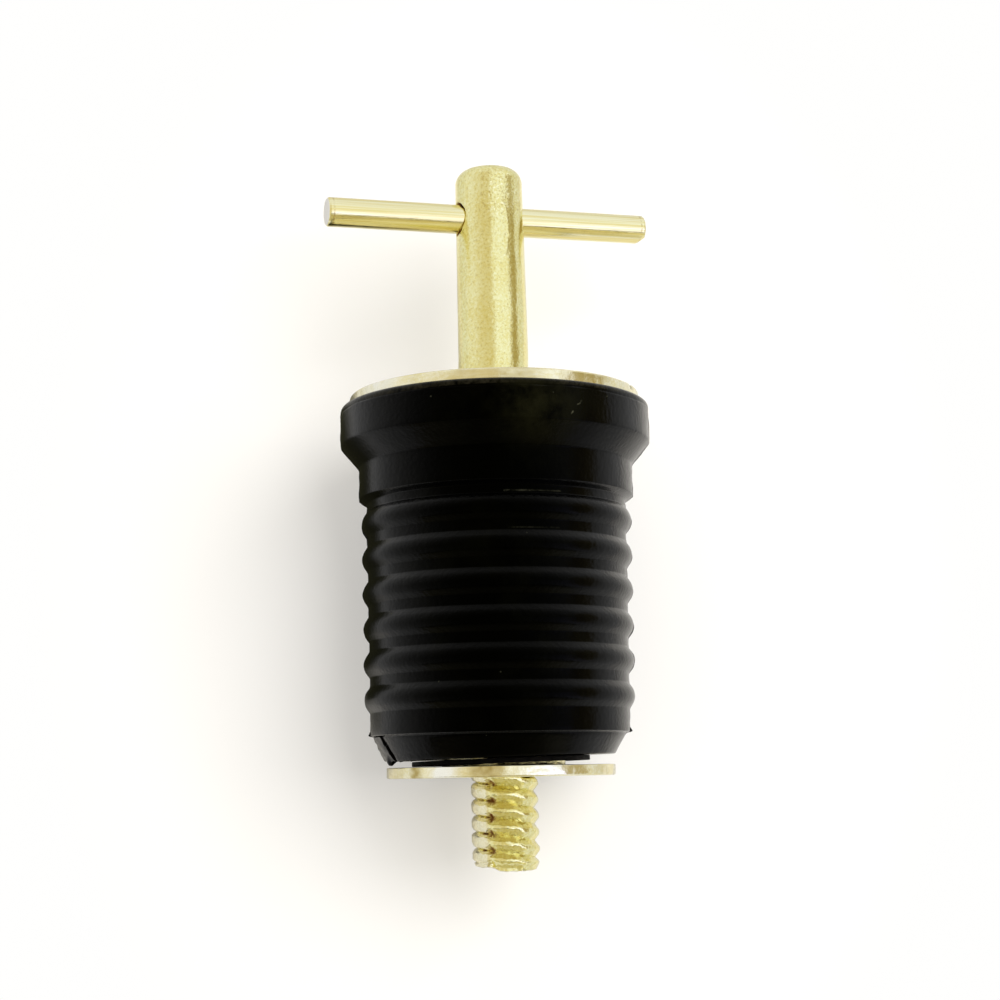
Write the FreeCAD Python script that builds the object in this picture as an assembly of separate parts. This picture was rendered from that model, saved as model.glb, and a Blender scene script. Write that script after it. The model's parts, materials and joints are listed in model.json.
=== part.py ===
import FreeCAD, Part
import math
import os

from FreeCAD import Placement, Rotation, Vector

# Expanding screw plug for a one inch drain tube: a brass T handle on a threaded stud draws a plate
# up against a ribbed rubber body, which shortens and grips the tube.
# Sizes are millimetres. Each piece is drawn about the plug's own axis, with the lower end of the
# rubber at station 0 and the handle up. At the end the whole plug is laid down as it rests.

# Rubber body, from its lower end upwards
rubber_end_radius = 10.65
rubber_bevel_radius = 11.7
rubber_bevel_height = 2.05
rubber_tail_height = 2.23
body_radius_low = 12.08
body_radius_high = 12.25
rib_count = 6
rib_pitch = 3.29
rib_width = 2.4
rib_land = 0.8
rib_height = 0.55
neck_height = 0.70
collar_step_height = 0.45
collar_radius = 12.96
collar_height = 3.02
cone_height = 2.1
rim_radius = 14.7
rim_height = 3.65
rim_bevel = 0.4

# Washer under the handle
top_washer_radius = 13.8
top_washer_thickness = 1.07

# Threaded plate and the thin washer above it
plate_radius = 10.65
plate_thickness = 1.0
hub_across_flats = 10.0
hub_height = 4.0
thin_washer_radius = 8.3
thin_washer_thickness = 0.45
sheet_edge_bevel = 0.2

# Stud and stem, one piece of cast brass. The stud is drawn plain, at the crests of its thread.
stud_radius = 3.15
stud_below_plate = 8.6
stud_end_bevel = 0.7
foot_radius = 4.8
foot_height = 1.6
foot_bevel = 0.4
stem_foot_radius = 3.40
stem_top_radius = 3.28
stem_above_washer = 23.16
stem_corner_round = 1.5
stem_crown = 0.3

# Cross bar, a cut length of drawn rod that stands a little crooked in its hole
bar_radius = 1.40
bar_length = 32.3
bar_above_washer = 17.68
bar_off_centre = -0.06
bar_turn_deg = 18.0
bar_lean_deg = 0.64
bar_end_bevel = 0.15
hole_mouth_width = 0.34
hole_mouth_depth = 1.1

# Gaps that the fits need
bar_press_gap = 0.02
shoulder_gap = 0.05
stud_running_gap = 0.06
stud_bore_gap = 0.25
hub_side_gap = 0.2
hub_end_gap = 0.8
thin_washer_hub_gap = 0.25
thin_washer_seat_gap = 0.05
rubber_seat_gap = 0.27

# Stations along the axis
lowest_rib = rubber_bevel_height + rubber_tail_height + rib_width / 2
highest_rib = lowest_rib + (rib_count - 1) * rib_pitch
neck_bottom = highest_rib + rib_width / 2
collar_bottom = neck_bottom + neck_height + collar_step_height
collar_top = collar_bottom + collar_height
rim_bottom = collar_top + cone_height
rubber_top = rim_bottom + rim_height
washer_top = rubber_top + top_washer_thickness
bar_station = washer_top + bar_above_washer
stem_top = washer_top + stem_above_washer
thin_washer_bottom = -rubber_seat_gap - thin_washer_thickness
plate_top = thin_washer_bottom - thin_washer_seat_gap
plate_bottom = plate_top - plate_thickness
hub_top = plate_top + hub_height
stud_end = plate_bottom - stud_below_plate

hub_corner_radius = hub_across_flats / 2 / math.cos(math.pi / 6)
pocket_across_flats = hub_across_flats + 2 * hub_side_gap
pocket_depth = hub_top + hub_end_gap
bore_radius = stud_radius + stud_bore_gap


def at(radius, station):
    return Vector(radius, 0, station)


def line(start, end):
    return Part.LineSegment(at(*start), at(*end)).toShape()


def arc(start, through, end):
    return Part.Arc(at(*start), at(*through), at(*end)).toShape()


def placed(shape, placement):
    moved = shape.copy()
    moved.Placement = placement.multiply(moved.Placement)
    return moved


def turned(edges):
    """Solid of revolution about the plug's axis from a closed outline."""
    face = Part.Face(Part.Wire(edges))
    return face.revolve(Vector(0, 0, 0), Vector(0, 0, 1), 360)


def outline(points):
    """Straight edges through the points, closed back to the first."""
    return [line(a, b) for a, b in zip(points, points[1:] + points[:1])]


def hexagon(across_flats, bottom, top):
    corner = across_flats / 2 / math.cos(math.pi / 6)
    sixth = math.pi / 3
    corners = [
        Vector(corner * math.cos(k * sixth), corner * math.sin(k * sixth), bottom)
        for k in range(6)
    ]
    face = Part.Face(Part.makePolygon(corners + corners[:1]))
    return face.extrude(Vector(0, 0, top - bottom))


def bay_radius(bay):
    """Radius of the plain bay below a rib, which steps up towards the head as the draft does."""
    return body_radius_low + (body_radius_high - body_radius_low) * bay / rib_count


def ring(outer_radius, inner_radius, seat, face, edge_bevel):
    """Stamped washer from its seat to its open face, where the die has softened the outer edge."""
    inwards = math.copysign(edge_bevel, seat - face)
    return turned(outline([
        (inner_radius, seat),
        (outer_radius, seat),
        (outer_radius, face + inwards),
        (outer_radius - edge_bevel, face),
        (inner_radius, face),
    ]))


def rubber_plug():
    """Moulded body: bevelled tail with a small shoulder, ribs, collar, cone and rim."""
    points = [
        (bore_radius, 0),
        (rubber_end_radius, 0),
        (rubber_bevel_radius, rubber_bevel_height),
        (bay_radius(0), rubber_bevel_height),
    ]
    for k in range(rib_count):
        crest = lowest_rib + k * rib_pitch
        foot, top = rib_width / 2, rib_land / 2
        crest_radius = bay_radius(k) + rib_height
        points += [
            (bay_radius(k), crest - foot),
            (crest_radius, crest - top),
            (crest_radius, crest + top),
            (bay_radius(k + 1), crest + foot),
        ]
    points += [
        (bay_radius(rib_count), neck_bottom + neck_height),
        (collar_radius, collar_bottom),
        (collar_radius, collar_top),
        (rim_radius, rim_bottom),
        (rim_radius, rubber_top - rim_bevel),
        (rim_radius - rim_bevel, rubber_top),
        (bore_radius, rubber_top),
    ]
    pocket = hexagon(pocket_across_flats, -rubber_seat_gap, pocket_depth)
    return turned(outline(points)).cut(pocket)


def top_washer():
    inner = stud_radius + stud_bore_gap
    return ring(top_washer_radius, inner, rubber_top, washer_top, sheet_edge_bevel)


def friction_washer():
    inner = hub_corner_radius + thin_washer_hub_gap
    top = thin_washer_bottom + thin_washer_thickness
    return turned(outline([
        (inner, thin_washer_bottom),
        (thin_washer_radius, thin_washer_bottom),
        (thin_washer_radius, top),
        (inner, top),
    ]))


def bottom_plate():
    """Round plate whose hexagonal hub stands in the rubber's pocket, so that it can't turn."""
    bore = stud_radius + stud_running_gap
    plate = ring(plate_radius, bore, plate_top, plate_bottom, sheet_edge_bevel)
    hub = hexagon(hub_across_flats, plate_bottom + plate_thickness / 2, hub_top)
    hole = Part.makeCylinder(bore, hub_height + plate_thickness, at(0, plate_bottom))
    return plate.fuse(hub.cut(hole)).removeSplitter()


def bar_placement():
    """Along the bar from its left end, which stands towards the viewer and a little low."""
    turn = math.radians(bar_turn_deg)
    lean = math.radians(bar_lean_deg)
    along = Vector(
        math.cos(turn) * math.cos(lean), math.sin(turn) * math.cos(lean), math.sin(lean)
    )
    start = at(0, bar_station) + along * (bar_off_centre - bar_length / 2)
    return Placement(start, Rotation(Vector(0, 0, 1), along))


def cross_bar():
    bevel = bar_end_bevel
    rod = turned(outline([
        (0, 0),
        (bar_radius - bevel, 0),
        (bar_radius, bevel),
        (bar_radius, bar_length - bevel),
        (bar_radius - bevel, bar_length),
        (0, bar_length),
    ]))
    return placed(rod, bar_placement())


def bar_hole():
    """Drilled hole for the bar, with the rough flared mouths of the casting."""
    snug = bar_radius + bar_press_gap
    middle = bar_length / 2 - bar_off_centre
    wall = stem_foot_radius
    flare_start = wall - hole_mouth_depth
    flare_end = wall + hole_mouth_depth
    flare = 2 * hole_mouth_width
    drill = turned(outline([
        (0, middle - flare_end),
        (snug + flare, middle - flare_end),
        (snug, middle - flare_start),
        (snug, middle + flare_start),
        (snug + flare, middle + flare_end),
        (0, middle + flare_end),
    ]))
    return placed(drill, bar_placement())


def spindle():
    """Stem, foot and stud, cast in one piece and drilled for the bar.

    The crown is part of a ball centred on the axis, which the corner's round runs into.
    """
    foot_bottom = washer_top + shoulder_gap
    foot_top = foot_bottom + foot_height
    corner = stem_corner_round
    slant = corner * (1 - math.sqrt(0.5))
    crown_edge = stem_top_radius - corner
    shoulder = stem_top - stem_crown
    ball = (crown_edge ** 2 + stem_crown ** 2) / (2 * stem_crown)
    half_way = math.asin(crown_edge / ball) / 2
    edges = [
        line((0, stud_end), (stud_radius - stud_end_bevel, stud_end)),
        line((stud_radius - stud_end_bevel, stud_end), (stud_radius, stud_end + stud_end_bevel)),
        line((stud_radius, stud_end + stud_end_bevel), (stud_radius, foot_bottom)),
        line((stud_radius, foot_bottom), (foot_radius, foot_bottom)),
        line((foot_radius, foot_bottom), (foot_radius, foot_top - foot_bevel)),
        line((foot_radius, foot_top - foot_bevel), (foot_radius - foot_bevel, foot_top)),
        line((foot_radius - foot_bevel, foot_top), (stem_foot_radius, foot_top)),
        line((stem_foot_radius, foot_top), (stem_top_radius, shoulder - corner)),
        arc((stem_top_radius, shoulder - corner),
            (stem_top_radius - slant, shoulder - slant), (crown_edge, shoulder)),
        arc((crown_edge, shoulder),
            (ball * math.sin(half_way), stem_top - ball * (1 - math.cos(half_way))),
            (0, stem_top)),
        line((0, stem_top), (0, stud_end)),
    ]
    return turned(edges).cut(bar_hole())


def resting_placement(solids):
    """Lays the plug down on its rim and its lowest rib, over the middle of its own box.

    The floor touches the rim's lower edge and the outer edge of the rib's land, so the axis rises
    towards the handle by the angle between those two edges.
    """
    rib_radius = bay_radius(0) + rib_height
    rib_edge = lowest_rib - rib_land / 2
    rise = math.atan2(rim_radius - rib_radius, rim_bottom - rib_edge)
    turn = Rotation(Vector(1, 0, 0), math.degrees(rise) - 90)
    height = rim_radius * math.cos(rise) - rim_bottom * math.sin(rise)
    laid = Placement(Vector(0, 0, height), turn)
    box = Part.Compound([placed(s, laid) for s in solids]).optimalBoundingBox()
    return Placement(Vector(-box.Center.x, -box.Center.y, height), turn)


parts = {
    "rubber_plug": rubber_plug(),
    "top_washer": top_washer(),
    "friction_washer": friction_washer(),
    "bottom_plate": bottom_plate(),
    "spindle": spindle(),
    "cross_bar": cross_bar(),
}
laid_down = resting_placement(list(parts.values()))

os.makedirs("parts", exist_ok=True)
for name, shape in parts.items():
    solid = placed(shape.Solids[0], laid_down)
    solid.exportStep(f"parts/{name}.step")
    print(name, len(shape.Solids), solid.isValid(), round(solid.Volume, 2))
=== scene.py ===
import bpy, bmesh, json, math
from mathutils import Matrix, Vector, noise


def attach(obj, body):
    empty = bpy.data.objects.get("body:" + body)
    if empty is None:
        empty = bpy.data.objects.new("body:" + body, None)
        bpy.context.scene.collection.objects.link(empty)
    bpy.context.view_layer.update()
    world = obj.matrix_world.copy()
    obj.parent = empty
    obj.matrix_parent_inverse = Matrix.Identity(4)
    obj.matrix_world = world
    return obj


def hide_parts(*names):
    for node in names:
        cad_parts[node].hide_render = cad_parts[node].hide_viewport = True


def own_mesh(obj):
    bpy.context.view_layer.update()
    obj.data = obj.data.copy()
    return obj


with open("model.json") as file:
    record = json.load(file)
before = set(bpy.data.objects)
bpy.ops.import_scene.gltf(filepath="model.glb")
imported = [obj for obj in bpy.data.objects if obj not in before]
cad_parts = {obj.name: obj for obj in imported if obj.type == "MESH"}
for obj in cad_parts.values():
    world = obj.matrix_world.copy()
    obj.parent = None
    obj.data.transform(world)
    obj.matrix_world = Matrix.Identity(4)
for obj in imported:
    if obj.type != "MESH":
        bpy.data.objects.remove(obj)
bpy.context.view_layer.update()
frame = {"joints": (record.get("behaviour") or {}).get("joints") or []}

# The plug is modelled in millimetres about its own axis: station 0 is the rubber's lower end, the
# handle is up and -Y looks at the viewer. plugToRow lays it down in the frame, in metres.
plug = {"washerTop": 34.12, "barStation": 51.73}
turnJoint = next(j for j in frame["joints"] if j["name"] == "handle_turn")
along = Vector(turnJoint["axis"]).normalized()
origin = Vector(turnJoint["pos_m"]) - along * plug["washerTop"] / 1000
across = Vector((1, 0, 0))
plugTurn = Matrix((across, along.cross(across), along)).transposed()
plugToRow = Matrix.Translation(origin) @ plugTurn.to_4x4() @ Matrix.Scale(0.001, 4)


# helpers for turned pieces

def drawOutline(bm, corners, closed=False, segments=5):
    # corners are (radius, station, how far the corner is rounded off)
    verts = [bm.verts.new((radius, 0, station)) for radius, station, soft in corners]
    for a, b in zip(verts, verts[1:]):
        bm.edges.new((a, b))
    if closed:
        bm.edges.new((verts[-1], verts[0]))
    for vert, corner in zip(verts, corners):
        if corner[2]:
            bmesh.ops.bevel(bm, geom=[vert], offset=corner[2], offset_type="OFFSET",
                            segments=segments, profile=0.5, affect="VERTICES", material=-1)


def splitLong(bm, step, fine=()):
    # fine is (low station, high station, smaller step)
    for edge in list(bm.edges):
        a, b = (v.co for v in edge.verts)
        reach = next((f[2] for f in fine if f[0] < (a.z + b.z) / 2 < f[1]), step)
        cuts = int((a - b).length / reach)
        if cuts:
            bmesh.ops.subdivide_edges(bm, edges=[edge], cuts=cuts)


def spinRound(bm, steps):
    bmesh.ops.spin(bm, geom=bm.verts[:] + bm.edges[:], cent=(0, 0, 0), axis=(0, 0, 1),
                   dvec=(0, 0, 0), angle=2 * math.pi, steps=steps, use_merge=True,
                   use_duplicate=False)
    bmesh.ops.remove_doubles(bm, verts=bm.verts, dist=0.0005)
    bmesh.ops.recalc_face_normals(bm, faces=bm.faces)


def cutPlane(bm, through, normal, geom=None, clear=False):
    # splits the faces along a plane, and with clear it drops what is on the normal's side
    bmesh.ops.bisect_plane(bm, geom=geom or bm.verts[:] + bm.edges[:] + bm.faces[:], dist=0.0001,
                           plane_co=through, plane_no=normal, clear_outer=clear)


def facing(co):
    # degrees round the axis from the viewer's side towards +X
    return math.degrees(math.atan2(co.x, -co.y))


def onPlug(angleDeg, station, radius):
    angle = math.radians(angleDeg)
    return Vector((radius * math.sin(angle), -radius * math.cos(angle), station))


def bump(distance, width):
    return math.exp(-(distance / width) ** 2)


def easeStep(value, low, high):
    t = min(1, max(0, (value - low) / (high - low)))
    return t * t * (3 - 2 * t)


def pushOut(vert, amount):
    radius = math.hypot(vert.co.x, vert.co.y)
    if radius > 1e-6:
        vert.co.x += vert.co.x / radius * amount
        vert.co.y += vert.co.y / radius * amount


# pieces lean beyond the outer of two radii, and the top washer leans less than the rest
askew = {"deg": 0.475, "aboutStation": 29.0, "radii": (5.9, 8.0), "topShare": 0.6}


def lean(bm, part=1.0):
    # the rubber, the washers and the plate's rim stand slightly askew on the spindle
    slope = math.radians(askew["deg"]) * part
    for vert in bm.verts:
        co = vert.co
        share = slope * easeStep(math.hypot(co.x, co.y), *askew["radii"])
        co.x, co.z = co.x + share * (co.z - askew["aboutStation"]), co.z - share * co.x


def makePiece(name, bm):
    mesh = bpy.data.meshes.new(name)
    bm.to_mesh(mesh)
    bm.free()
    piece = bpy.data.objects.new(name, mesh)
    bpy.context.scene.collection.objects.link(piece)
    return piece


def cutAway(piece, tool):
    cut = piece.modifiers.new("cut", "BOOLEAN")
    cut.operation, cut.solver, cut.object = "DIFFERENCE", "EXACT", tool
    graph = bpy.context.evaluated_depsgraph_get()
    result = bpy.data.meshes.new_from_object(piece.evaluated_get(graph))
    piece.modifiers.clear()
    piece.data = result
    result.name = piece.name
    bpy.data.objects.remove(tool)


def joinPiece(piece, extra):
    both = bmesh.new()
    both.from_mesh(piece.data)
    both.from_mesh(extra.data)
    both.to_mesh(piece.data)
    both.free()
    bpy.data.objects.remove(extra)


def layDown(piece, finish, sharpDeg, body, node):
    mesh = piece.data
    mesh.transform(plugToRow)
    for face in mesh.polygons:
        face.use_smooth = True
    mesh.set_sharp_from_angle(angle=math.radians(sharpDeg))
    mesh.materials.clear()
    mesh.materials.append(finish)
    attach(piece, body)
    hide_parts(node)
    print("made", piece.name, len(mesh.polygons), "faces")


def hexPrism(bm, acrossFlats, low, high):
    made = bmesh.ops.create_circle(bm, cap_ends=True, segments=6,
                                   radius=acrossFlats / 2 / math.cos(math.pi / 6))
    bmesh.ops.rotate(bm, verts=made["verts"], cent=(0, 0, 0),
                     matrix=Matrix.Rotation(math.radians(90), 3, "Z"))
    bmesh.ops.translate(bm, verts=made["verts"], vec=(0, 0, low))
    raised = bmesh.ops.extrude_face_region(bm, geom=list(bm.faces))
    lifted = [v for v in raised["geom"] if isinstance(v, bmesh.types.BMVert)]
    bmesh.ops.translate(bm, verts=lifted, vec=(0, 0, high - low))
    bmesh.ops.recalc_face_normals(bm, faces=bm.faces)


def roundPeg(bm, radius, low, high, steps):
    drawOutline(bm, [(0, low, 0), (radius, low, 0), (radius, high, 0), (0, high, 0)])
    spinRound(bm, steps)


# shader groups

def put(tree, kind, values=None, **settings):
    made = tree.nodes.new(kind)
    for key, value in settings.items():
        setattr(made, key, value)
    for socket, value in (values or {}).items():
        if isinstance(value, bpy.types.NodeSocket):
            tree.links.new(value, made.inputs[socket])
        else:
            made.inputs[socket].default_value = value
    return made


def math2(tree, how, a, b, clamp=False):
    return put(tree, "ShaderNodeMath", {0: a, 1: b}, operation=how, use_clamp=clamp).outputs[0]


def times(tree, a, b, clamp=False):
    return math2(tree, "MULTIPLY", a, b, clamp)


def vec2(tree, how, a, b=None, out=0):
    values = {0: a} if b is None else {0: a, 1: b}
    return put(tree, "ShaderNodeVectorMath", values, operation=how).outputs[out]


def noiseAt(tree, where, scale, detail=2.0, roughness=0.5):
    return put(tree, "ShaderNodeTexNoise", {"Vector": where, "Scale": scale, "Detail": detail,
               "Roughness": roughness}).outputs[0]


def painted(tree, name):
    return put(tree, "ShaderNodeAttribute", attribute_name=name,
               attribute_type="GEOMETRY").outputs["Fac"]


def ease(tree, value, low, high, toLow=0.0, toHigh=1.0):
    made = put(tree, "ShaderNodeMapRange", {0: value, 1: low, 2: high, 3: toLow, 4: toHigh},
               interpolation_type="SMOOTHSTEP")
    return made.outputs[0]


def blendColour(tree, amount, a, b):
    return put(tree, "ShaderNodeMix", {0: amount, 6: a, 7: b}, data_type="RGBA").outputs[2]


def startGroup(name, takes, gives):
    group = bpy.data.node_groups.new(name, "ShaderNodeTree")
    for title, kind, value in takes:
        socket = group.interface.new_socket(name=title, in_out="INPUT", socket_type=kind)
        if value is not None:
            socket.default_value = value
    for title, kind in gives:
        group.interface.new_socket(name=title, in_out="OUTPUT", socket_type=kind)
    return group, group.nodes.new("NodeGroupInput"), group.nodes.new("NodeGroupOutput")


floatKind, vectorKind = "NodeSocketFloat", "NodeSocketVector"


def makeSkinGroup():
    # orange peel over slow lumps, as on a die casting or a moulding
    group, take, give = startGroup(
        "castSkin",
        [("Vector", vectorKind, None), ("Peel", floatKind, 3.0), ("Lumps", floatKind, 0.6),
         ("Lump Share", floatKind, 0.4)],
        [("Height", floatKind), ("Tone", floatKind)])
    peel = noiseAt(group, take.outputs["Vector"], take.outputs["Peel"], 3.0, 0.55)
    lumps = noiseAt(group, take.outputs["Vector"], take.outputs["Lumps"])
    height = put(group, "ShaderNodeMix", {0: take.outputs["Lump Share"], 2: peel, 3: lumps},
                 data_type="FLOAT").outputs[0]
    group.links.new(height, give.inputs["Height"])
    group.links.new(ease(group, height, 0.36, 0.64), give.inputs["Tone"])
    return group


def makeSpeckGroup():
    # scattered small spots, some larger than others
    group, take, give = startGroup(
        "scatteredSpecks",
        [("Vector", vectorKind, None), ("Spacing", floatKind, 1.0), ("Size", floatKind, 0.15),
         ("Rarity", floatKind, 0.7)],
        [("Mask", floatKind)])
    cells = put(group, "ShaderNodeTexVoronoi", {"Vector": take.outputs["Vector"],
                "Scale": take.outputs["Spacing"]})
    chance = put(group, "ShaderNodeSeparateColor", {0: cells.outputs["Color"]})
    reach = times(group, take.outputs["Size"], chance.outputs[1])
    past = math2(group, "SUBTRACT", cells.outputs["Distance"], reach)
    kept = math2(group, "GREATER_THAN", chance.outputs[0], take.outputs["Rarity"])
    near = ease(group, past, -0.02, 0.03, 1.0, 0.0)
    group.links.new(times(group, near, kept), give.inputs["Mask"])
    return group


def makeDrawnGroup():
    # fine lines along local Z, as rolling or drawing leaves them
    group, take, give = startGroup(
        "drawnLines",
        [("Vector", vectorKind, None), ("Lines", floatKind, 6.0), ("Stretch", floatKind, 0.05)],
        [("Height", floatKind), ("Tone", floatKind)])
    spread = put(group, "ShaderNodeCombineXYZ", {0: take.outputs["Lines"], 1: take.outputs["Lines"],
                 2: take.outputs["Stretch"]}).outputs[0]
    drawn = vec2(group, "MULTIPLY", take.outputs["Vector"], spread)
    lines = noiseAt(group, drawn, 1.0, 4.0, 0.62)
    broad = noiseAt(group, drawn, 0.22)
    group.links.new(lines, give.inputs["Height"])
    both = put(group, "ShaderNodeMix", {0: 0.5, 2: lines, 3: broad}, data_type="FLOAT").outputs[0]
    group.links.new(ease(group, both, 0.38, 0.62), give.inputs["Tone"])
    return group


def makeStrokeGroup():
    # one short stroke between two places, drawn for scratches and for streaks of painted reflection
    group, take, give = startGroup(
        "strokeMask",
        [("Vector", vectorKind, None), ("Start", vectorKind, None), ("End", vectorKind, None),
         ("Width", floatKind, 0.1)],
        [("Mask", floatKind)])
    fromStart = vec2(group, "SUBTRACT", take.outputs["Vector"], take.outputs["Start"])
    run = vec2(group, "SUBTRACT", take.outputs["End"], take.outputs["Start"])
    share = math2(group, "DIVIDE", vec2(group, "DOT_PRODUCT", fromStart, run, "Value"),
                  vec2(group, "DOT_PRODUCT", run, run, "Value"), clamp=True)
    nearest = put(group, "ShaderNodeVectorMath", {0: run, "Scale": share},
                  operation="SCALE").outputs[0]
    gap = vec2(group, "DISTANCE", fromStart, nearest, "Value")
    past = math2(group, "SUBTRACT", gap, times(group, take.outputs["Width"], 0.5))
    group.links.new(ease(group, past, -0.03, 0.05, 1.0, 0.0), give.inputs["Mask"])
    return group


castSkin = makeSkinGroup()
scatteredSpecks = makeSpeckGroup()
drawnLines = makeDrawnGroup()
strokeMask = makeStrokeGroup()


def useGroup(tree, group, **values):
    made = tree.nodes.new("ShaderNodeGroup")
    made.node_tree = group
    for title, value in values.items():
        socket = made.inputs[title.replace("_", " ")]
        if isinstance(value, bpy.types.NodeSocket):
            tree.links.new(value, socket)
        else:
            socket.default_value = value
    return made


def startFinish(name, toRow=plugToRow):
    # the Mapping node turns the row's coordinates into the piece's own, in millimetres
    finish = bpy.data.materials.new(name)
    finish.use_nodes = True
    tree = finish.node_tree
    surface = tree.nodes["Principled BSDF"]
    where = put(tree, "ShaderNodeTexCoord").outputs["Object"]
    place, turned, size = toRow.decompose()
    own = put(tree, "ShaderNodeMapping", {"Vector": where, "Location": place,
              "Rotation": turned.to_euler(), "Scale": size}, vector_type="TEXTURE").outputs[0]
    return finish, tree, surface, own


def feedBump(tree, surface, height, distance):
    made = put(tree, "ShaderNodeBump", {"Height": height, "Distance": distance, "Strength": 1.0})
    tree.links.new(made.outputs[0], surface.inputs["Normal"])


# finishes

castTone = {
    "light": (0.91, 0.88, 0.47, 1), "deep": (0.85, 0.77, 0.31, 1), "grime": (0.25, 0.085, 0.022, 1),
    # on the next line the first two colours are painted light: a pale reflection on the thread's
    # beads and a glint highlight; the third is darker grain
    "beadReflection": (0.88, 0.83, 0.71, 1), "glintHighlight": (1.0, 0.98, 0.64, 1), "fleck": (0.60, 0.48, 0.17, 1),
    "smooth": 0.06, "rough": 0.14, "peel": 3.7, "bump": 0.000034,
    # the grain is coarsest and the painted glints strongest here: degrees from the viewer, station,
    # radius
    "coarseAt": (24, 53.6, 3.25), "coarse": 2.4,
}


def makeCastBrass():
    finish, tree, surface, own = startFinish("castBrass")
    c = castTone
    skin = useGroup(tree, castSkin, Vector=own, Peel=c["peel"], Lumps=0.5, Lump_Share=0.3)
    relief, mottle = skin.outputs
    specks = useGroup(tree, scatteredSpecks, Vector=own, Spacing=1.6, Size=0.22, Rarity=0.72)
    specks = specks.outputs["Mask"]
    grime, beadReflections = painted(tree, "grime"), painted(tree, "beadReflections")
    tone = blendColour(tree, mottle, c["deep"], c["light"])
    tone = blendColour(tree, times(tree, specks, 0.35), tone, c["deep"])
    # painted highlights as glints in the grain, and darker flecks of grain,
    # most of all on the right of the bar's hole
    spot = vec2(tree, "DISTANCE", own, onPlug(*c["coarseAt"]), "Value")
    grain = noiseAt(tree, own, 4.2, 3.0, 0.65)
    glintAndFleckShare = ease(tree, spot, 1.0, 3.4, 0.95, 0.45)
    tone = blendColour(tree, times(tree, ease(tree, grain, 0.54, 0.64), glintAndFleckShare), tone, c["glintHighlight"])
    tone = blendColour(tree, times(tree, ease(tree, grain, 0.45, 0.34), glintAndFleckShare), tone, c["fleck"])
    # the beads left of the seam take a painted pale reflection
    tone = blendColour(tree, times(tree, beadReflections, 0.55), tone, c["beadReflection"])
    tree.links.new(blendColour(tree, grime, tone, c["grime"]), surface.inputs["Base Color"])
    rough = ease(tree, relief, 0.35, 0.65, c["rough"], c["smooth"])
    tree.links.new(math2(tree, "ADD", rough, times(tree, grime, 0.4)), surface.inputs["Roughness"])
    surface.inputs["Metallic"].default_value = 1.0
    height = math2(tree, "SUBTRACT", relief, times(tree, specks, 0.3))
    coarse = ease(tree, spot, 1.0, 3.2, c["coarse"], 1.0)
    feedBump(tree, surface, times(tree, height, coarse), c["bump"])
    return finish


sheetTone = {
    # worn and polished are painted reflections round the edges, darker and paler
    "light": (0.96, 0.93, 0.70, 1), "deep": (0.88, 0.80, 0.46, 1), "edgeReflection": (0.48, 0.38, 0.14, 1),
    "paleReflection": (1.0, 0.99, 0.88, 1), "smooth": 0.08, "rough": 0.20, "bump": 0.00003,
}
# painted stretches of reflection round an edge: degrees from the viewer, half width,
# how dark (below zero, a painted pale highlight)
plateEdge = [(-47, 3.2, 1.1), (-8, 9.5, 0.95), (-30, 7, -1.3), (27, 12, -0.6), (50, 5, 0.25)]
washerEdge = [(11, 9, 0.35), (38, 5, 0.30), (-30, 5, 0.20), (-48, 12, -0.7)]


def markEdge(mesh, outer, stretches):
    # painted darker and paler reflections in stretches round the outer edge, with some random tone
    edgeReflection = []
    for vert in mesh.vertices:
        angle, radius = facing(vert.co), math.hypot(vert.co.x, vert.co.y)
        level = sum(amount * bump(angle - at, half) for at, half, amount in stretches)
        level *= easeStep(radius, outer - 0.32, outer - 0.12)
        level += 0.4 * noise.noise(vert.co * 0.35)
        edgeReflection.append(level * (1 + 0.7 * noise.noise(vert.co * 2.1)))
    mesh.attributes.new("edgeReflection", "FLOAT", "POINT").data.foreach_set("value", edgeReflection)


def makeSheetBrass():
    finish, tree, surface, own = startFinish("sheetBrass")
    # rolled along the plug's X, so that is turned to the group's Z
    rolled = put(tree, "ShaderNodeMapping",
                 {"Vector": own, "Rotation": (0, math.radians(-90), 0)}).outputs[0]
    lines = useGroup(tree, drawnLines, Vector=rolled, Lines=5.0, Stretch=0.12)
    skin = useGroup(tree, castSkin, Vector=own, Peel=4.5, Lumps=0.25, Lump_Share=0.5)
    streaks, streakTone = lines.outputs
    relief, mottle = skin.outputs
    s = sheetTone
    tone = blendColour(tree, streakTone, s["deep"], s["light"])
    tone = blendColour(tree, ease(tree, mottle, 0.0, 1.0, 0.5, 0.0), tone, s["deep"])
    # painted reflections round the edge: darker above zero, a pale highlight below zero
    edgeReflection = painted(tree, "edgeReflection")
    tone = blendColour(tree, times(tree, edgeReflection, 1.0, clamp=True), tone, s["edgeReflection"])
    tone = blendColour(tree, times(tree, edgeReflection, -1.0, clamp=True), tone, s["paleReflection"])
    tree.links.new(tone, surface.inputs["Base Color"])
    tree.links.new(ease(tree, streaks, 0.35, 0.65, s["rough"], s["smooth"]),
                   surface.inputs["Roughness"])
    surface.inputs["Metallic"].default_value = 1.0
    height = math2(tree, "ADD", times(tree, streaks, 0.4), relief)
    dents = times(tree, noiseAt(tree, own, 0.26), 14.0)
    feedBump(tree, surface, math2(tree, "ADD", height, dents), s["bump"])
    return finish


rubberTone = {
    "black": (0.0001, 0.0001, 0.00005, 1), "bloom": (0.0008, 0.0008, 0.0003, 1),
    # chalk paints dust and scratches, and also the streaks of painted reflection
    "markAndSheenTone": (0.09, 0.088, 0.055, 1), "paleAboveTrim": (0.016, 0.014, 0.008, 1), "paleAboveTrimFrom": 32.42,
    # olive is a painted reflection on the rim's face
    "oliveReflection": (0.0065, 0.0062, 0.0022, 1), "oliveReflectionAt": (15, 31.7, 14.7),
    # almost no gloss seen square on, full gloss at a glance
    "gloss": (0.012, 0.012, 0.007, 1), "smooth": 0.12, "rough": 0.22, "bump": 0.000045,
}
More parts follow.
